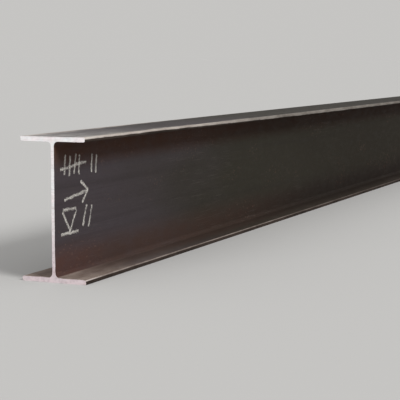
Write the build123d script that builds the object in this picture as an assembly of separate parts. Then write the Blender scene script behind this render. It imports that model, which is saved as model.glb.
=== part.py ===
from build123d import *
import os

# Hot-rolled steel H-beam with narrow parallel flanges, as a length of sawn stock.
# It lies on its bottom flange: X runs across the flanges, Y along the beam, and Z is up.
# The origin is on the floor, under the middle of the beam. Sizes are in millimetres.

# Rolled section
section_depth = 248.0
flange_width = 124.0
flange_thickness = 8.0
web_thickness = 5.0
root_radius = 8.0
toe_outer_radius = 1.0
toe_inner_radius = 2.0

# Distance between the two saw cuts
stock_length = 6000.0

# How near a corner must lie to a stated place to be taken as that corner
corner_tolerance = 0.001


def corners_at(outline, half_width, heights):
    """The outline's corners on both sides of the web, that far from its middle and at those heights."""
    found = []
    for corner in outline.vertices():
        is_at_width = abs(abs(corner.X) - half_width) < corner_tolerance
        is_at_height = any(abs(corner.Y - height) < corner_tolerance for height in heights)
        if is_at_width and is_at_height:
            found.append(corner)
    return found


def bar(width, height, middle_height):
    """An upright rectangle centred on the web's middle line, for a flange or the web."""
    return Pos(0, middle_height) * Rectangle(width, height)


def rolled_section():
    """The H, drawn on edge: two parallel flanges and the web, one outline with rolled corners."""
    bottom_flange = bar(flange_width, flange_thickness, flange_thickness / 2)
    top_flange = bar(flange_width, flange_thickness, section_depth - flange_thickness / 2)
    web = bar(web_thickness, section_depth, section_depth / 2)
    outline = bottom_flange + web + top_flange

    outer_faces = (0, section_depth)
    inner_faces = (flange_thickness, section_depth - flange_thickness)

    # The web runs into the flanges through root radii.
    outline = fillet(corners_at(outline, web_thickness / 2, inner_faces), root_radius)
    # The rolls leave the toes of the flanges rounded, more on the web's side.
    outline = fillet(corners_at(outline, flange_width / 2, inner_faces), toe_inner_radius)
    outline = fillet(corners_at(outline, flange_width / 2, outer_faces), toe_outer_radius)
    return outline


def h_beam():
    """The section run out both ways from the middle of the beam to its two square saw cuts."""
    return extrude(Plane.XZ * rolled_section(), stock_length / 2, both=True)


os.makedirs("parts", exist_ok=True)

beam = h_beam()
beam.label = "h_beam"
export_step(beam, "parts/h_beam.step")
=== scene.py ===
import math
import random
from collections import namedtuple

import bpy
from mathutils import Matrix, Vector, noise


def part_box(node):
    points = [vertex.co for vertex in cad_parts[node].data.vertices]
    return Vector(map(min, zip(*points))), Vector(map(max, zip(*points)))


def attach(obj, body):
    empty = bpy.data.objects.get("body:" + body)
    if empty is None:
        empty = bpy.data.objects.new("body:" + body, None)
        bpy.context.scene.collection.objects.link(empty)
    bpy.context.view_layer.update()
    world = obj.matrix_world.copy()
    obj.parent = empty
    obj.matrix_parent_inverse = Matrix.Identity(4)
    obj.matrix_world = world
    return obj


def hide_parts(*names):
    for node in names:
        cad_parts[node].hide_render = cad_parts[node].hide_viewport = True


# A length of hot-rolled steel H-beam as it lies in a stockyard: dark mill scale, bright saw cuts with
# their burr, and chalk marks on the web. X runs across the flanges, Y along the beam, and Z is up.
# Sizes and places are in metres.

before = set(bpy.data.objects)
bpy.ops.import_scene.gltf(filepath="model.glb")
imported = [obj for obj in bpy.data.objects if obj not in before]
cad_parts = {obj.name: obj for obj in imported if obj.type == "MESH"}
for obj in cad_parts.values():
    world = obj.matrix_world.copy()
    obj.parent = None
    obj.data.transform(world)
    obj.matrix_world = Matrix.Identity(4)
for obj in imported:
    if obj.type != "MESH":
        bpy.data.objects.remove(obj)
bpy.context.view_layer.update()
_, beam_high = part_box("h_beam")

# Section, with the box of the solid giving its width, depth and length
half_width = beam_high.x
depth = beam_high.z
half_length = beam_high.y
flange_thickness = 0.008
web_thickness = 0.005
root_radius = 0.008
toe_outer_radius = 0.001
toe_inner_radius = 0.002

# Points round the section: the steps of its arcs, the gap beside an arc, and the spacing on the flats
root_steps = 8
toe_steps = 3
edge_hold = 0.0005
coarse_step = 0.009
fine_per_coarse = 12

# Rows of points along the beam, close together at the saw cuts and wide apart in the middle
cut_rows = (0.0, 0.0004, 0.0009, 0.0016, 0.0026, 0.0045, 0.0075, 0.012)
first_step = 0.004
step_growth = 0.02

# How near two places must lie to be taken as one, and the least turn of a sharp edge
tolerance = 1e-5
sharp_turn = math.radians(38)

# The saw's burr: its size, its groups and teeth to the metre, and what each adds to its height
burr_reach = 0.0009
burr_length = 0.0024
burr_groups = 45
burr_teeth = 520
burr_least = 0.12
burr_by_group = 0.5
burr_by_tooth = 1.5
teeth_off_group = 0.35
burr_toe_gap = (0.001, 0.004)

# The cut's outer edges: how far they are broken back, evenly and by chips, and the chips to the metre
broken_edge = 0.0004
broken_length = 0.002
broken_toe = 0.003
broken_evenly = 0.45
edge_chips = 160

# Mill tolerance: how far the web waves and the toes wander, their waves to the metre, and the lengths
# over which they set in
web_wave = 0.00025
web_waves_along = 2.3
web_waves_up = 7.0
web_settling = 0.04
toe_wander = 0.0004
toe_waves = 4.1
toe_settling = 0.02
toe_wander_starts = 0.012
toe_wander_full = 0.002

# Where in the noise each unevenness is taken from, so that no two are alike, and which way the places of
# the materials' noises lie in it
web_place = 3.7
burr_group_place = 9.3
burr_tooth_place = 5.1
chip_place = 4.7
chip_shift = 2.0
toe_side_place = 5.3
toe_level_place = 8.9
noise_heading = (1.0, 1.7, 0.6)

# Places in the texture: one strip for each half of the beam's surface, and a patch for each saw cut
strip_margin = 0.002
strip_length = 0.996
strip_breadth = 0.41
strip_places = (0.005, 0.425)
cut_places = (0.02, 0.36)
cut_height = 0.845
cut_length = 0.3
cut_breadth = 0.15

# Chalk: the size of a stroke, its grains with the lowest and highest of each measure, and their outline
chalk_seed = 248
chalk_width = 0.0066
chalk_thickness = 0.00012
grains_per_metre = 13500
grain_sizes = (0.0004, 0.0012)
grain_corners = (4, 5, 6)
grain_stretches = (0.6, 1.5)
grain_thicknesses = (0.5, 1.3)
grain_core = 0.75
grain_points = 0.5
grain_lobes = 7.3

# The hand that draws: how hard it presses, how far it strays, and the swings of both
Swing = namedtuple("Swing", "per_metre stroke_step place")
first_press = 0.68
press_loss = 0.22
press_by_grip = 0.30
width_by_grip = 0.15
grip_swing = Swing(per_metre=75, stroke_step=3.1, place=0.4)
shake_reach = 0.0010
shake_swing = Swing(per_metre=60, stroke_step=7.7, place=9.2)
sway_reach = 0.0045
sway_swing = Swing(per_metre=17, stroke_step=5.3, place=4.6)

# The range that a noise seldom leaves, and the border in it between the two colours of its patches
noise_range = (0.3, 0.7)
patch_border = (0.35, 0.65)

# In the looks below, a pair runs from where something starts to where it is full. It counts metres from
# the nearer saw cut, unless the comment says another way.

# Mill scale: where it turns olive and then brown, partly its own tone and partly painted falloff of
# light away from the cuts, how far those borders stray, where its chips thin out, and the least and the
# most that the saw left bare
olive_turn = (0.28, 0.8)
brown_turn = (0.7, 1.9)
border_drift = 0.22
chips_thin_out = (0.0, 0.3)
bare_least = 0.0003
bare_most = 0.0013

# Brown tint in the corners, partly rust and partly painted shade under the top flange and a painted
# reflection of the bottom flange low on the web: towards the web, in from the outer faces, up to the top
# flange and down to the bottom one; and where it darkens
tint_to_web = (0.058, 0.024)
tint_inside = (0.002, 0.006)
tint_to_top = (depth - 0.066, depth - 0.026)
tint_to_bottom = (0.078, 0.026)
tint_strength = 0.85
top_tint_darkens = (0.2, 1.2)
bottom_tint_settles = (0.0, 0.25)
bottom_tint_darkens = (0.2, 1.5)

# Dust in the channels and on top, with painted light in it: where it thins out, and outward from the web
# to the toes
near_cut_boost_ends = (0.03, 0.20)
channel_cover_thins = (0.02, 0.26)
channel_cover_ends = (0.2, 0.55)
top_cover_thins = (-0.1, 0.45)
top_sheen_greys = (0.02, 0.24)
cover_outward = (0.010, 0.058)

# Toes, painted shade with painted light on their upper edges: how far inside an edge its look starts and
# is full, how far the top flange's pale part reaches down by the cuts and far from them, how uneven its
# foot is, and where the painted light darkens
edge_look_starts = 0.0022
edge_look_full = 0.0012
pale_down_by_cut = 0.0028
pale_down_far = 0.0070
pale_foot_sinks = (0.0, 1.3)
foot_unevenness = 0.0006
foot_softness = 0.0007
palest_at_cut = (0.08, 0.0)
pale_light_darkens = (0.25, 0.95)
arris_highlight_darkens = (0.2, 1.6)

# Painted light on top beside the toes: its inner border's distance from the beam's middle, by the cuts
# and far from them, and how ragged and how wide that border is
top_edge_light_from_by_cut = 0.048
top_edge_light_from_far = 0.062
top_edge_light_narrows = (0.0, 1.2)
top_edge_light_raggedness = 0.010
top_edge_light_border = (-0.008, 0.012)
top_edge_light_strength = 0.8

# Saw cuts: how high above the floor they start to turn pinker and more mottled, and where that is full
pinker_down = (0.16, 0.01)
mottled_down = (0.10, 0.01)

# Light and surroundings
ambient_level = 0.55
key_level = 2.3
key_towards = Vector((0.80, -0.27, 0.60))
key_softness = math.radians(19)
fill_level = 1.1
fill_towards = Vector((-0.20, -0.92, 0.33))
fill_softness = math.radians(45)
floor_size = 400.0
floor_red_green_blue = (190, 189, 187)

# Camera
camera_place = Vector((1.1024, -4.8718, 0.381))
camera_target = Vector((0.0025, -2.3950, 0.0800))
camera_lens = 116.0
nearest_seen = 0.05
furthest_seen = 1000.0


# Shape of the beam

RingPoint = namedtuple("RingPoint", "x z facing_x facing_z on_coarse along")
Row = namedtuple("Row", "y vertices")


def section_corners():
    """The H's corners with their radii, anticlockwise as seen from the near end."""
    half_web = web_thickness / 2
    inner_low = flange_thickness
    inner_high = depth - flange_thickness
    right = [
        (half_width, 0.0, toe_outer_radius),
        (half_width, inner_low, toe_inner_radius),
        (half_web, inner_low, root_radius),
        (half_web, inner_high, root_radius),
        (half_width, inner_high, toe_inner_radius),
        (half_width, depth, toe_outer_radius),
    ]
    left = [(-x, z, radius) for x, z, radius in reversed(right)]
    return right + left


def turn_points(place, radius, arriving, leaving):
    """Points round one corner's arc, each with its place and the way the outline runs there."""
    steps = root_steps if radius == root_radius else toe_steps
    centre = place + (leaving - arriving) * radius
    points = []
    for step in range(steps + 1):
        turn = math.pi / 2 * step / steps
        heading = arriving * math.cos(turn) + leaving * math.sin(turn)
        spoke = arriving * math.sin(turn) - leaving * math.cos(turn)
        points.append((centre + spoke * radius, heading))
    return points


def flat_points(start, end):
    """Evenly spaced points between two arcs, each with whether the coarse ring has it too."""
    hold = (end - start).normalized() * edge_hold
    span = end - start - 2 * hold
    coarse_count = max(1, math.ceil(span.length / coarse_step))
    fine_count = coarse_count * fine_per_coarse
    points = []
    for step in range(fine_count + 1):
        on_coarse = step % fine_per_coarse == 0
        points.append((start + hold + span * (step / fine_count), on_coarse))
    return points


def section_ring():
    """The points round the section, anticlockwise from the near end, and how long that round is."""
    corners = [(Vector((x, z)), radius) for x, z, radius in section_corners()]
    outline = []
    for number, (place, radius) in enumerate(corners):
        before, _ = corners[number - 1]
        after, next_radius = corners[(number + 1) % len(corners)]
        arriving = (place - before).normalized()
        leaving = (after - place).normalized()
        arc = turn_points(place, radius, arriving, leaving)
        outline += [(point, heading, True) for point, heading in arc]
        flat = flat_points(arc[-1][0], after - leaving * next_radius)
        outline += [(point, leaving, on_coarse) for point, on_coarse in flat]

    ring = []
    along = 0.0
    for number, (point, heading, on_coarse) in enumerate(outline):
        ring.append(RingPoint(point.x, point.y, heading.y, -heading.x, on_coarse, along))
        after = outline[(number + 1) % len(outline)][0]
        along += (after - point).length
    return ring, along


def fade(value, start, end):
    """Runs smoothly from 0 at start to 1 at end."""
    share = min(max((value - start) / (end - start), 0.0), 1.0)
    return share * share * (3 - 2 * share)


def web_bow(y, z):
    """How far the web stands to the right of its middle plane: rolled webs are slightly wavy."""
    from_root = min(z, depth - z) - flange_thickness - root_radius
    wave = noise.noise(Vector((y * web_waves_along, z * web_waves_up, web_place)))
    return 2 * web_wave * wave * fade(from_root, 0.0, web_settling)


def burr(point, from_cut, end):
    """How far the saw's burr stands out of the faces between the flanges, in ragged teeth."""
    is_between = flange_thickness - tolerance < point.z < depth - flange_thickness + tolerance
    if not is_between or from_cut > burr_length:
        return 0.0
    group = noise.noise(Vector((point.x * burr_groups, point.z * burr_groups, end * burr_group_place)))
    tooth = noise.noise(Vector((point.x * burr_teeth, point.z * burr_teeth, end * burr_tooth_place)))
    teeth = burr_by_tooth * max(tooth, 0.0) * max(teeth_off_group + group, 0.0)
    height = burr_least + burr_by_group * max(group, 0.0) + teeth
    inside = fade(half_width - abs(point.x), *burr_toe_gap)
    lean = (1 - from_cut / burr_length) ** 2
    return burr_reach * min(height, 1.0) * inside * lean


def edge_loss(point, from_cut, end):
    """How far the cut's outer edges are broken back."""
    is_between = flange_thickness < point.z < depth - flange_thickness
    if is_between and abs(point.x) <= half_width - broken_toe:
        return 0.0
    place = Vector((point.x * edge_chips, point.z * edge_chips, end * chip_place + chip_shift))
    broken = max(broken_evenly + noise.noise(place), 0.0)
    return broken_edge * broken * (1 - fade(from_cut, 0.0, broken_length))


def toe_loss(point, y):
    """How far a flange's toe stands back from the straight line."""
    side = 1.0 if point.x > 0 else -1.0
    level = 1.0 if point.z > depth / 2 else -1.0
    wander = noise.noise(Vector((y * toe_waves, side * toe_side_place, level * toe_level_place)))
    settled = fade(half_length - abs(y), 0.0, toe_settling)
    at_toe = fade(abs(point.x), half_width - toe_wander_starts, half_width - toe_wander_full)
    return toe_wander * max(wander, 0.0) * settled * at_toe


def worn_place(point, y):
    """Where a point of the ring lies on the real beam."""
    from_cut = half_length - abs(y)
    end = math.copysign(1.0, y)
    out = burr(point, from_cut, end) - edge_loss(point, from_cut, end)
    x = point.x + point.facing_x * out
    z = point.z + point.facing_z * out
    if abs(point.x) < web_thickness:
        x += web_bow(y, point.z)
    x -= math.copysign(toe_loss(point, y), point.x)
    return x, y, z


def rows_to_middle():
    """How far each row of points lies from its saw cut, as far as the middle of the beam."""
    rows = list(cut_rows)
    steps = []
    reached = cut_rows[-1]
    while reached < half_length:
        steps.append(first_step + step_growth * reached)
        reached += steps[-1]
    stretch = (half_length - cut_rows[-1]) / sum(steps)
    for step in steps:
        rows.append(rows[-1] + step * stretch)
    return rows[:-1] + [half_length]


def beam_rows(ring):
    """The rows along the beam with their vertices by number in the ring, and the vertices' places."""
    to_middle = rows_to_middle()
    near = [(-half_length + distance, distance <= cut_rows[-1]) for distance in to_middle]
    far = [(-y, is_fine) for y, is_fine in reversed(near[:-1])]
    places = []
    rows = []
    for y, is_fine in near + far:
        vertices = {}
        for number, point in enumerate(ring):
            if is_fine or point.on_coarse:
                vertices[number] = len(places)
                places.append(worn_place(point, y))
        rows.append(Row(y, vertices))
    return rows, places


def surface_uv(y, along, round_length, is_far_half):
    """Where a point of the rolled surface lies in the texture."""
    from_start = y if is_far_half else y + half_length
    across = strip_margin + strip_length * from_start / half_length
    up = strip_places[int(is_far_half)] + strip_breadth * along / round_length
    return across, up


def cut_uv(point, is_far_cut):
    """Where a point of a saw cut lies in the texture."""
    across = cut_places[int(is_far_cut)] + cut_length * point.z / depth
    up = cut_height + cut_breadth * (point.x + half_width) / (2 * half_width)
    return across, up


def beam_faces(rows, ring, round_length):
    """The beam's faces, the texture places of their corners in turn, and whether each is sawn."""
    faces = []
    places = []
    is_sawn = []
    count = len(ring)
    coarse = [number for number, point in enumerate(ring) if point.on_coarse]

    def add(corners, is_far_half, sawn):
        """Adds a face from its corners: each a row, and a number in the ring or one past its last."""
        faces.append([row.vertices[number % count] for row, number in corners])
        for row, number in corners:
            along = round_length if number == count else ring[number].along
            places.append(surface_uv(row.y, along, round_length, is_far_half))
        is_sawn.append(sawn)

    for near, far in zip(rows, rows[1:]):
        is_far_half = near.y >= -tolerance
        is_at_cut = half_length - max(abs(near.y), abs(far.y)) < tolerance
        both_fine = len(near.vertices) == len(far.vertices) == count
        stops = list(range(count)) if both_fine else coarse
        for start, stop in zip(stops, stops[1:] + [count]):
            near_run = [n for n in range(start, stop + 1) if n % count in near.vertices]
            far_run = [n for n in range(start, stop + 1) if n % count in far.vertices]
            corners = [(far, n) for n in far_run] + [(near, n) for n in reversed(near_run)]
            add(corners, is_far_half, is_at_cut)

    for row, is_far_cut in ((rows[0], False), (rows[-1], True)):
        numbers = list(range(count))
        if is_far_cut:
            numbers.reverse()
        faces.append([row.vertices[number] for number in numbers])
        places += [cut_uv(ring[number], is_far_cut) for number in numbers]
        is_sawn.append(True)
    return faces, places, is_sawn


def add_object(name, data):
    """Puts an object with that data into the scene."""
    added = bpy.data.objects.new(name, data)
    bpy.context.scene.collection.objects.link(added)
    return added


def rolled_beam():
    """The beam as one closed piece, with its scale and its saw cuts as two materials."""
    ring, round_length = section_ring()
    rows, places = beam_rows(ring)
    faces, uv, is_sawn = beam_faces(rows, ring, round_length)
    mesh = bpy.data.meshes.new("rolled_h_beam")
    mesh.from_pydata(places, [], faces)
    layer = mesh.uv_layers.new(name="OFBake")
    layer.uv.foreach_set("vector", [value for place in uv for value in place])
    mesh.materials.append(mill_scale())
    mesh.materials.append(sawn_steel())
    mesh.polygons.foreach_set("material_index", [int(sawn) for sawn in is_sawn])
    mesh.shade_smooth()
    mesh.set_sharp_from_angle(angle=sharp_turn)
    mesh.validate()
    return add_object("rolled_h_beam", mesh)


# Chalk marks, as strokes that each run from one place to another: distance from the near cut, and height

def tally(foot, count, pitch, height, lean):
    """Upright strokes side by side, from the place of the first one's foot, up and down by turns."""
    unevenness = 0.0015
    strokes = []
    for number in range(count):
        start = foot + Vector((pitch * number, unevenness * (-1) ** number))
        strokes.append((start, start + Vector((lean, height))))
    return strokes


def arrow(tail, tip, barb):
    """A shaft and its two barbs."""
    spread = 0.75
    back = (tail - tip).normalized() * barb
    across = Vector((-back.y, back.x)) * spread
    return [(tail, tip), (tip + back + across, tip), (tip + back - across, tip)]


def datum_mark(foot, half_breadth, height, reach):
    """A triangle standing on its point on a level line."""
    left = foot + Vector((-half_breadth, height))
    right = foot + Vector((half_breadth, height))
    level = Vector((reach, 0.0))
    return [(left, foot), (foot, right), (left, right), (foot - level, foot + level)]


def chalk_strokes():
    """The marks on the right of the web, from top to bottom."""
    crossed = tally(foot=Vector((0.036, 0.179)), count=4, pitch=0.0165, height=0.034, lean=0.005)
    crossing = [(Vector((0.021, 0.191)), Vector((0.112, 0.201)))]
    beside = tally(foot=Vector((0.130, 0.177)), count=2, pitch=0.0185, height=0.032, lean=0.004)
    pointer = arrow(tail=Vector((0.034, 0.139)), tip=Vector((0.118, 0.150)), barb=0.025)
    datum = datum_mark(foot=Vector((0.052, 0.080)), half_breadth=0.023, height=0.038, reach=0.030)
    leaning = tally(foot=Vector((0.100, 0.084)), count=2, pitch=0.0190, height=0.036, lean=0.015)
    return crossed + crossing + beside + pointer + datum + leaning


def places_along(start, end, spacing):
    """Evenly spaced places from start towards end."""
    run = end - start
    found = []
    reached = 0.0
    while reached < run.length:
        found.append(start + run * (reached / run.length))
        reached += spacing
    return found


def swing_of(distance, stroke_number, swing):
    """How far the hand has swung at that distance along a stroke."""
    place = Vector((distance * swing.per_metre, stroke_number * swing.stroke_step, swing.place))
    return noise.noise(place)


def add_grain(vertices, faces, centre, size, dice):
    """Adds one flat angular grain of chalk, lying on the web."""
    corner_count = dice.choice(grain_corners)
    first_turn = dice.uniform(0, 2 * math.pi)
    stretch = dice.uniform(*grain_stretches)
    base = len(vertices)
    face_x = web_thickness / 2 + web_bow(centre.x - half_length, centre.y)
    thickness = chalk_thickness * dice.uniform(*grain_thicknesses)
    for x in (face_x - chalk_thickness / 2, face_x + thickness):
        for corner in range(corner_count):
            turn = first_turn + 2 * math.pi * corner / corner_count
            lobe = math.sin(grain_lobes * turn + first_turn) ** 2
            radius = size / 2 * (grain_core + grain_points * lobe)
            along = centre.x + radius * stretch * math.cos(turn)
            vertices.append((x, along - half_length, centre.y + radius / stretch * math.sin(turn)))
    under = list(range(base, base + corner_count))
    over = [number + corner_count for number in under]
    faces.append(under[::-1])
    faces.append(over)
    for number in range(corner_count):
        after = (number + 1) % corner_count
        faces.append([under[number], under[after], over[after], over[number]])


def chalk_marks():
    """Generic setting-out marks in chalk, broken into the grains that the rough scale takes off it."""
    dice = random.Random(chalk_seed)
    spacing = 1 / grains_per_metre
    vertices = []
    faces = []
    for number, (start, end) in enumerate(chalk_strokes()):
        run = end - start
        direction = run.normalized()
        across = Vector((-direction.y, direction.x))
        for step, place in enumerate(places_along(start, end, spacing)):
            distance = step * spacing
            grip = swing_of(distance, number, grip_swing)
            press = first_press - press_loss * (distance / run.length) + press_by_grip * grip
            if dice.random() > press:
                continue
            shake = shake_reach * swing_of(distance, number, shake_swing)
            sway = sway_reach * swing_of(distance, number, sway_swing)
            offset = dice.triangular(-0.5, 0.5, 0.0) * chalk_width * (1 + width_by_grip * grip)
            centre = place + across * (offset + shake + sway)
            add_grain(vertices, faces, centre, dice.uniform(*grain_sizes), dice)
    mesh = bpy.data.meshes.new("chalk_marks")
    mesh.from_pydata(vertices, [], faces)
    mesh.materials.append(chalk())
    mesh.validate()
    return add_object("chalk_marks", mesh)


# Materials

def tone(red, green, blue):
    """A colour given as screen values from 0 to 255, by the screen's standard curve."""
    linear = []
    for value in (red, green, blue):
        value = value / 255
        linear.append(value / 12.92 if value <= 0.04045 else ((value + 0.055) / 1.055) ** 2.4)
    return (*linear, 1.0)


class Surface:
    """One material's nodes, with short calls for the ones that are used most."""

    def __init__(self, name):
        """Starts the material with its shader and with the place on the beam as x, y and z."""
        self.material = bpy.data.materials.new(name)
        self.material.use_nodes = True
        self.tree = self.material.node_tree
        self.tree.nodes.clear()
        self.shader = self.node("ShaderNodeBsdfPrincipled")
        output = self.node("ShaderNodeOutputMaterial")
        self.put(self.shader.outputs["BSDF"], output.inputs["Surface"])
        self.coordinates = self.node("ShaderNodeTexCoord").outputs["Object"]
        split = self.node("ShaderNodeSeparateXYZ")
        self.put(self.coordinates, split.inputs["Vector"])
        self.x, self.y, self.z = split.outputs

    def node(self, kind):
        """Adds a node."""
        return self.tree.nodes.new(kind)

    def put(self, value, socket):
        """Links a socket or sets its value."""
        if isinstance(value, bpy.types.NodeSocket):
            self.tree.links.new(value, socket)
        else:
            socket.default_value = value

    def set(self, name, value):
        """Gives the shader one of its inputs."""
        self.put(value, self.shader.inputs[name])

    def math(self, operation, first, second=0.0):
        """One step of arithmetic."""
        node = self.node("ShaderNodeMath")
        node.operation = operation
        self.put(first, node.inputs[0])
        self.put(second, node.inputs[1])
        return node.outputs["Value"]

    def plus(self, first, second):
        """The sum of two numbers."""
        return self.math("ADD", first, second)

    def minus(self, first, second):
        """The difference of two numbers."""
        return self.math("SUBTRACT", first, second)

    def times(self, first, *others):
        """The product of two or more masks."""
        for other in others:
            first = self.math("MULTIPLY", first, other)
        return first

    def most(self, first, second):
        """The larger of two masks."""
        return self.math("MAXIMUM", first, second)

    def span(self, value, start, end, low=0.0, high=1.0):
        """Runs smoothly from low at start to high at end, and stays there beyond them."""
        node = self.node("ShaderNodeMapRange")
        node.interpolation_type = "SMOOTHSTEP"
        for name, number in (("From Min", start), ("From Max", end), ("To Min", low), ("To Max", high)):
            node.inputs[name].default_value = number
        self.put(value, node.inputs["Value"])
        return node.outputs["Result"]

    def noise(self, per_metre, detail=3.0, roughness=0.5, place=0.0):
        """Noise with that many lumps to the metre along X, Y and Z, from that place in the noise."""
        mapping = self.node("ShaderNodeMapping")
        mapping.inputs["Scale"].default_value = per_metre
        mapping.inputs["Location"].default_value = [place * share for share in noise_heading]
        self.put(self.coordinates, mapping.inputs["Vector"])
        node = self.node("ShaderNodeTexNoise")
        node.inputs["Scale"].default_value = 1.0
        node.inputs["Detail"].default_value = detail
        node.inputs["Roughness"].default_value = roughness
        self.put(mapping.outputs["Vector"], node.inputs["Vector"])
        return node.outputs["Fac"]

    def mix(self, factor, first, second):
        """Blends two colours, which are the node's seventh and eighth inputs."""
        node = self.node("ShaderNodeMix")
        node.data_type = "RGBA"
        self.put(factor, node.inputs[0])
        self.put(first, node.inputs[6])
        self.put(second, node.inputs[7])
        return node.outputs[2]

    def blend(self, factor, first, second):
        """Blends two numbers, which are the node's third and fourth inputs."""
        node = self.node("ShaderNodeMix")
        self.put(factor, node.inputs[0])
        self.put(first, node.inputs[2])
        self.put(second, node.inputs[3])
        return node.outputs[0]

    def patches(self, pattern, first, second):
        """Two colours in the soft-edged patches of a noise."""
        return self.mix(self.span(pattern, *patch_border), first, second)

    def between(self, pattern, low, high):
        """Swings between low and high with a noise."""
        return self.span(pattern, *noise_range, low=low, high=high)

    def across(self):
        """The distance from the beam's middle plane."""
        return self.math("ABSOLUTE", self.x)

    def on_upper_half(self):
        """0 on the lower half of the beam and 1 on the upper half."""
        return self.span(self.z, depth * 0.4, depth * 0.6)

    def looking_up(self):
        """1 where the surface is level and looks up, and 0 where it is steep or looks another way."""
        too_steep = 0.75
        level = 1.0
        split = self.node("ShaderNodeSeparateXYZ")
        normal = self.node("ShaderNodeNewGeometry").outputs["Normal"]
        self.put(normal, split.inputs["Vector"])
        return self.span(split.outputs["Z"], too_steep, level)

    def bump(self, height, strength, distance):
        """Gives the shader fine relief."""
        node = self.node("ShaderNodeBump")
        node.inputs["Strength"].default_value = strength
        node.inputs["Distance"].default_value = distance
        self.put(height, node.inputs["Height"])
        self.set("Normal", node.outputs["Normal"])


ScaleGrain = namedtuple("ScaleGrain", "streaks lines mottle specks rubs")


def scale_grain(surface):
    """The noises that several parts of the scale's look share."""
    return ScaleGrain(
        streaks=surface.noise((70.0, 1.1, 70.0), detail=3.0, roughness=0.55, place=1.0),
        lines=surface.noise((480.0, 4.0, 480.0), detail=2.0, place=10.0),
        mottle=surface.noise((60.0, 22.0, 60.0), detail=7.0, roughness=0.66, place=2.0),
        specks=surface.noise((900.0, 700.0, 900.0), detail=2.0, place=5.0),
        # Patches in the painted light and shade on the toes and beside them on top
        rubs=surface.noise((60.0, 12.0, 60.0), detail=6.0, roughness=0.68, place=7.0),
    )


def scale_colour_and_painted_light(surface, from_cut, grain):
    """The oxide with fine streaks: purple-grey near the cuts, olive and then brown further in, partly
    its own tone and partly painted sheen near the cuts and painted falloff of light further in.
    """
    purple_grey = tone(64, 58, 61)
    olive = tone(46, 43, 36)
    olive_brown = tone(38, 34, 27)
    dark_streak = tone(36, 32, 30)
    light_mottle = tone(68, 62, 59)

    drift = surface.noise((4.0, 0.9, 2.6), detail=3.0, place=4.0)
    inward = surface.plus(from_cut, surface.between(drift, -border_drift, border_drift))
    colour = surface.mix(surface.span(inward, *brown_turn), olive, olive_brown)
    colour = surface.mix(surface.span(inward, *olive_turn), purple_grey, colour)
    colour = surface.mix(surface.span(grain.streaks, 0.46, 0.78, high=0.26), colour, dark_streak)
    colour = surface.mix(surface.span(grain.lines, 0.55, 0.8, high=0.2), colour, dark_streak)
    return surface.mix(surface.span(grain.mottle, 0.52, 0.74, high=0.28), colour, light_mottle)


def rust_and_painted_shade_tint(surface, colour, from_cut, grain):
    """The brown tint in the corners between web and flanges, darker away from the cuts: partly rust,
    partly painted shade under the top flange and a painted reflection of the bottom flange low on the
    web.
    """
    top_near = tone(77, 51, 38)
    top_far = tone(53, 35, 26)
    bottom_by_cut = tone(80, 54, 47)
    bottom_near = tone(67, 50, 43)
    bottom_far = tone(33, 26, 23)

    from_face = surface.math("MINIMUM", surface.z, surface.minus(depth, surface.z))
    is_inside = surface.span(from_face, *tint_inside)
    in_corner = surface.times(surface.span(surface.across(), *tint_to_web), is_inside)
    uneven = surface.span(grain.mottle, 0.3, 0.65, low=0.75)
    by_top = surface.times(surface.span(surface.z, *tint_to_top), in_corner, uneven, tint_strength)
    brown = surface.mix(surface.span(from_cut, *top_tint_darkens), top_near, top_far)
    colour = surface.mix(by_top, colour, brown)

    by_bottom = surface.times(surface.span(surface.z, *tint_to_bottom), in_corner, uneven, tint_strength)
    brown = surface.mix(surface.span(from_cut, *bottom_tint_darkens), bottom_near, bottom_far)
    brown = surface.mix(surface.span(from_cut, *bottom_tint_settles), bottom_by_cut, brown)
    return surface.mix(by_bottom, colour, brown)


def dust_and_painted_light_cover(surface, from_cut):
    """How thickly dust lies on the faces that look up: heaped by the cuts, then thin and by the toes;
    partly painted light, as sheen by the cuts and as less painted shade towards the toes.
    """
    near_cut_boost = surface.span(from_cut, *near_cut_boost_ends, low=0.85, high=0.4)
    outward = surface.most(surface.span(surface.across(), *cover_outward, low=0.4), near_cut_boost)
    near_cut = surface.span(from_cut, *channel_cover_thins, low=1.2, high=0.35)
    further_in = surface.span(from_cut, *channel_cover_ends, low=1.0, high=0.35)
    in_channel = surface.times(near_cut, further_in, outward)
    on_top = surface.span(from_cut, *top_cover_thins, low=0.95, high=0.13)
    cover = surface.blend(surface.on_upper_half(), in_channel, on_top)
    blotches = surface.noise((30.0, 11.0, 30.0), detail=6.0, roughness=0.65, place=14.0)
    uneven = surface.span(blotches, 0.3, 0.62, low=0.62)
    return surface.times(cover, surface.looking_up(), uneven)


def dust_and_sheen_colour(surface, from_cut, grain):
    """Grey on top of the beam and palest by the cuts, where the pale grey is partly a painted
    reflection, browner in the channels between the flanges.
    """
    brown = surface.patches(grain.mottle, tone(124, 109, 100), tone(145, 131, 122))
    grey = surface.patches(grain.mottle, tone(118, 114, 112), tone(140, 137, 135))
    sheen_grey = surface.patches(grain.mottle, tone(146, 142, 139), tone(168, 165, 162))
    grey = surface.mix(surface.span(from_cut, *top_sheen_greys), sheen_grey, grey)
    return surface.mix(surface.on_upper_half(), brown, grey)


def painted_pale_light(surface, from_cut, grain):
    """Painted light on the top flange's edge, palest at the cuts."""
    brightest = tone(200, 192, 184)
    near = surface.patches(grain.rubs, tone(166, 156, 148), tone(190, 181, 173))
    far = surface.patches(grain.rubs, tone(106, 100, 94), tone(134, 128, 122))
    pale = surface.mix(surface.span(from_cut, *pale_light_darkens), near, far)
    return surface.mix(surface.span(from_cut, *palest_at_cut), pale, brightest)


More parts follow.
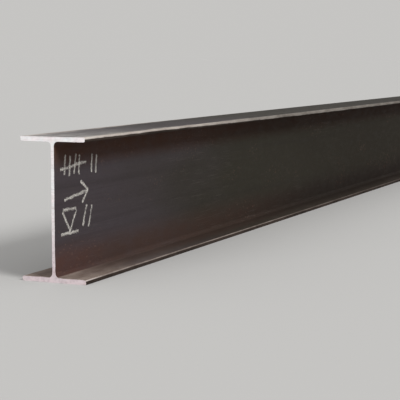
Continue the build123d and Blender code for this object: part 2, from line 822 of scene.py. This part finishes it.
def painted_top_edge_light(surface, from_cut):
    """Painted light on the top face beside its toes: faint ragged strips, narrower far from the cuts."""
    top_edge_light_noise = surface.noise((110.0, 16.0, 110.0), detail=8.0, roughness=0.75, place=17.0)
    inner = surface.span(from_cut, *top_edge_light_narrows, low=top_edge_light_from_by_cut, high=top_edge_light_from_far)
    ragged = surface.between(top_edge_light_noise, -top_edge_light_raggedness, top_edge_light_raggedness)
    outward = surface.plus(surface.minus(surface.across(), inner), ragged)
    strip = surface.span(outward, *top_edge_light_border)
    return surface.times(strip, surface.on_upper_half(), surface.looking_up(), top_edge_light_strength)


def top_toe_colour(surface, from_cut, grain, dark):
    """The top flange's toe: dark as painted shade, with a pale upper part of painted light that reaches
    lower far from the cuts.
    """
    foot_by_cut = depth - pale_down_by_cut
    foot_far = depth - pale_down_far
    foot = surface.span(from_cut, *pale_foot_sinks, low=foot_by_cut, high=foot_far)
    uneven = surface.between(grain.rubs, -foot_unevenness, foot_unevenness)
    above_foot = surface.plus(surface.minus(surface.z, foot), uneven)
    is_pale = surface.span(above_foot, -foot_softness, foot_softness)
    return surface.mix(is_pale, dark, painted_pale_light(surface, from_cut, grain))


def bottom_toe_colour(surface, from_cut, grain, dark):
    """The bottom flange's toe: dark as painted shade, with a painted highlight on its upper arris that
    darkens away from the cuts.
    """
    brightest = tone(188, 176, 170)
    far = tone(62, 54, 50)
    arris_highlight = surface.mix(surface.between(grain.rubs, 0.0, 1.0), tone(92, 80, 74), tone(150, 138, 131))
    arris_highlight = surface.mix(surface.span(from_cut, *arris_highlight_darkens, high=0.75), arris_highlight, far)
    arris_highlight = surface.mix(surface.span(from_cut, *palest_at_cut), arris_highlight, brightest)
    arris_start = flange_thickness - edge_look_starts
    arris_full = flange_thickness - edge_look_full
    return surface.mix(surface.span(surface.z, arris_start, arris_full), dark, arris_highlight)


def toe_colour(surface, from_cut, grain):
    """The toes of both flanges, painted shade with painted light on their upper edges."""
    dark = surface.patches(grain.rubs, tone(40, 33, 29), tone(60, 51, 46))
    bottom = bottom_toe_colour(surface, from_cut, grain, dark)
    top = top_toe_colour(surface, from_cut, grain, dark)
    return surface.mix(surface.on_upper_half(), bottom, top)


def chipped_scale(surface, from_cut):
    """Small sharp-edged spots where the scale has come off, in groups, and more near the cuts."""
    spots = surface.noise((210.0, 130.0, 210.0), detail=5.0, roughness=0.6, place=15.0)
    groups = surface.noise((13.0, 4.0, 13.0), detail=2.0, place=16.0)
    grouped = surface.plus(groups, surface.span(from_cut, *chips_thin_out, low=0.08, high=0.0))
    return surface.times(surface.span(spots, 0.62, 0.64), surface.span(grouped, 0.52, 0.62))


def chip_colour(surface, grain):
    """Rust and dull steel in the chipped spots."""
    rust = tone(112, 70, 50)
    dull_steel = tone(118, 106, 100)
    return surface.mix(surface.span(grain.specks, 0.4, 0.6), rust, dull_steel)


def fine_marks(surface, colour, grain):
    """Dark specks, thin pale scratches along the beam where it was handled, and small dark pits."""
    dark_speck = tone(16, 14, 13)
    pale_scratch = tone(104, 97, 93)
    dark_pit = tone(18, 16, 15)
    scratch_strength = 0.16

    colour = surface.mix(surface.span(grain.specks, 0.35, 0.65, high=0.12), colour, dark_speck)
    scratches = surface.noise((850.0, 13.0, 850.0), detail=2.0, place=11.0)
    handled = surface.noise((9.0, 2.5, 9.0), detail=2.0, place=12.0)
    is_handled = surface.span(handled, 0.45, 0.6)
    scratched = surface.times(surface.span(scratches, 0.62, 0.7), is_handled, scratch_strength)
    colour = surface.mix(scratched, colour, pale_scratch)
    return surface.mix(surface.span(grain.specks, 0.64, 0.69, high=0.5), colour, dark_pit)


def bare_by_cut(surface, from_cut):
    """1 on the ragged rim, about a millimetre wide, that the saw left bare, and 0 elsewhere."""
    rim = surface.noise((90.0, 60.0, 90.0), place=8.0)
    reach = surface.span(rim, 0.35, 0.7, low=bare_least, high=bare_most)
    return surface.math("LESS_THAN", from_cut, reach)


def scale_relief(surface, chips, grain):
    """The scale's fine relief, with hollows where it has come off."""
    lumps = surface.times(grain.mottle, 0.6)
    ridges = surface.times(grain.streaks, 0.3)
    points = surface.times(grain.specks, 0.2)
    hollows = surface.times(chips, 0.25)
    return surface.minus(surface.plus(surface.plus(lumps, ridges), points), hollows)


def mill_scale():
    """The dark oxide that hot rolling leaves, with its dust, rust tint and small marks, and painted
    light: sheen by the cuts, falloff further in, shade in the corners and on the toes, and light on the
    toes' upper edges and beside them on top.
    """
    bare_steel = tone(190, 182, 178)
    chip_strength = 0.3
    bare_metallic = 0.6
    dull_roughness = 0.85

    surface = Surface("mill_scale")
    from_cut = surface.minus(half_length, surface.math("ABSOLUTE", surface.y))
    grain = scale_grain(surface)
    dust_and_light = dust_and_painted_light_cover(surface, from_cut)
    top_edge_light = painted_top_edge_light(surface, from_cut)
    is_toe = surface.span(surface.across(), half_width - edge_look_starts, half_width - edge_look_full)
    chips = chipped_scale(surface, from_cut)
    bare = bare_by_cut(surface, from_cut)

    colour = scale_colour_and_painted_light(surface, from_cut, grain)
    colour = rust_and_painted_shade_tint(surface, colour, from_cut, grain)
    colour = surface.mix(dust_and_light, colour, dust_and_sheen_colour(surface, from_cut, grain))
    colour = surface.mix(top_edge_light, colour, painted_pale_light(surface, from_cut, grain))
    colour = surface.mix(is_toe, colour, toe_colour(surface, from_cut, grain))
    colour = surface.mix(surface.times(chips, chip_strength), colour, chip_colour(surface, grain))
    colour = fine_marks(surface, colour, grain)
    surface.set("Base Color", surface.mix(bare, colour, bare_steel))
    surface.set("Metallic", surface.times(bare, bare_metallic))
    surface.set("Specular IOR Level", 0.05)

    scale_roughness = surface.span(grain.mottle, 0.3, 0.75, low=0.6, high=0.76)
    dull = surface.most(surface.most(dust_and_light, top_edge_light), is_toe)
    surface.set("Roughness", surface.blend(dull, scale_roughness, dull_roughness))
    surface.bump(scale_relief(surface, chips, grain), strength=0.6, distance=0.0005)
    return surface.material


def sawn_steel():
    """Freshly sawn steel, pale and dull, mottled low down, with the saw's lines and a few stains."""
    low_pink = tone(203, 185, 189)
    blotch = tone(164, 147, 153)
    brown_stain = tone(178, 150, 138)
    grey_line = tone(160, 152, 150)

    surface = Surface("sawn_steel")
    cloud = surface.noise((45.0, 1.0, 45.0), detail=4.0, roughness=0.6, place=3.0)
    stain = surface.noise((22.0, 1.0, 30.0), detail=5.0, roughness=0.65, place=6.0)
    lines = surface.noise((22.0, 1.0, 1300.0), detail=3.0, roughness=0.6, place=9.0)
    mottle = surface.noise((115.0, 1.0, 115.0), detail=4.0, roughness=0.6, place=13.0)

    colour = surface.patches(cloud, tone(237, 229, 230), tone(230, 232, 233))
    colour = surface.mix(surface.span(surface.z, *pinker_down, high=0.8), colour, low_pink)
    strength = surface.span(surface.z, *mottled_down, low=0.18, high=0.42)
    colour = surface.mix(surface.times(surface.span(mottle, 0.42, 0.66), strength), colour, blotch)
    colour = surface.mix(surface.span(stain, 0.56, 0.72, high=0.4), colour, brown_stain)
    colour = surface.mix(surface.span(lines, 0.48, 0.72, high=0.35), colour, grey_line)
    surface.set("Base Color", colour)
    surface.set("Metallic", 0.3)
    surface.set("Roughness", surface.between(lines, 0.45, 0.62))
    surface.bump(lines, strength=0.4, distance=0.0003)
    return surface.material


def chalk():
    """Dry white chalk, greyed by the scale under it."""
    surface = Surface("chalk")
    grain = surface.noise((300.0, 300.0, 300.0), detail=3.0, place=2.0)
    surface.set("Base Color", surface.patches(grain, tone(176, 172, 165), tone(206, 202, 195)))
    surface.set("Roughness", surface.between(grain, 0.85, 0.98))
    surface.bump(grain, strength=0.4, distance=0.0002)
    return surface.material


# Surroundings

def floor_level():
    """How much of its own colour the open floor shows under the lights."""
    lamps = ((key_level, key_towards), (fill_level, fill_towards))
    return ambient_level + sum(level * towards.normalized().z for level, towards in lamps) / math.pi


def pale_floor():
    """A wide plain floor."""
    half = floor_size / 2
    corners = [(-half, -half, 0.0), (half, -half, 0.0), (half, half, 0.0), (-half, half, 0.0)]
    mesh = bpy.data.meshes.new("floor")
    mesh.from_pydata(corners, [], [(0, 1, 2, 3)])
    material = bpy.data.materials.new("pale_floor")
    material.use_nodes = True
    shader = material.node_tree.nodes["Principled BSDF"]
    shader.inputs["Base Color"].default_value = tone(*floor_red_green_blue)
    shader.inputs["Roughness"].default_value = 1.0
    shader.inputs["Specular IOR Level"].default_value = 0.0
    mesh.materials.append(material)
    return add_object("floor", mesh)


def studio_world():
    """Even light from all round, with the floor's own shade as what is seen beyond the floor."""
    world = bpy.data.worlds.new("studio")
    world.use_nodes = True
    tree = world.node_tree
    tree.nodes.clear()
    output = tree.nodes.new("ShaderNodeOutputWorld")
    choice = tree.nodes.new("ShaderNodeMixShader")
    light = tree.nodes.new("ShaderNodeBackground")
    light.inputs["Color"].default_value = (1.0, 1.0, 1.0, 1.0)
    light.inputs["Strength"].default_value = ambient_level
    seen = tree.nodes.new("ShaderNodeBackground")
    seen.inputs["Color"].default_value = tone(*floor_red_green_blue)
    seen.inputs["Strength"].default_value = floor_level()
    path = tree.nodes.new("ShaderNodeLightPath")
    is_seen = path.outputs["Is Camera Ray"]
    for name in ("Is Glossy Ray", "Is Transmission Ray"):
        either = tree.nodes.new("ShaderNodeMath")
        either.operation = "MAXIMUM"
        tree.links.new(is_seen, either.inputs[0])
        tree.links.new(path.outputs[name], either.inputs[1])
        is_seen = either.outputs["Value"]
    tree.links.new(is_seen, choice.inputs["Fac"])
    tree.links.new(light.outputs["Background"], choice.inputs[1])
    tree.links.new(seen.outputs["Background"], choice.inputs[2])
    tree.links.new(choice.outputs["Shader"], output.inputs["Surface"])
    bpy.context.scene.world = world


def lamp(name, level, towards, softness):
    """A broad lamp far away in one direction."""
    light = bpy.data.lights.new(name, "SUN")
    light.energy = level
    light.angle = softness
    holder = add_object(name, light)
    holder.rotation_euler = towards.to_track_quat("Z", "Y").to_euler()


def main_camera():
    """The photograph's viewpoint, turned to the beam and drawn closer by its lens."""
    lens = bpy.data.cameras.new("camera")
    lens.lens = camera_lens
    lens.clip_start = nearest_seen
    lens.clip_end = furthest_seen
    camera = add_object("camera", lens)
    camera.location = camera_place
    camera.rotation_euler = (camera_target - camera_place).to_track_quat("-Z", "Y").to_euler()
    bpy.context.scene.camera = camera


beam = rolled_beam()
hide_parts("h_beam")
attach(beam, "root")

marks = chalk_marks()
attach(marks, "root")

floor = pale_floor()
studio_world()
lamp("key", key_level, key_towards, key_softness)
lamp("fill", fill_level, fill_towards, fill_softness)
main_camera()
bpy.context.scene.view_settings.view_transform = "Standard"
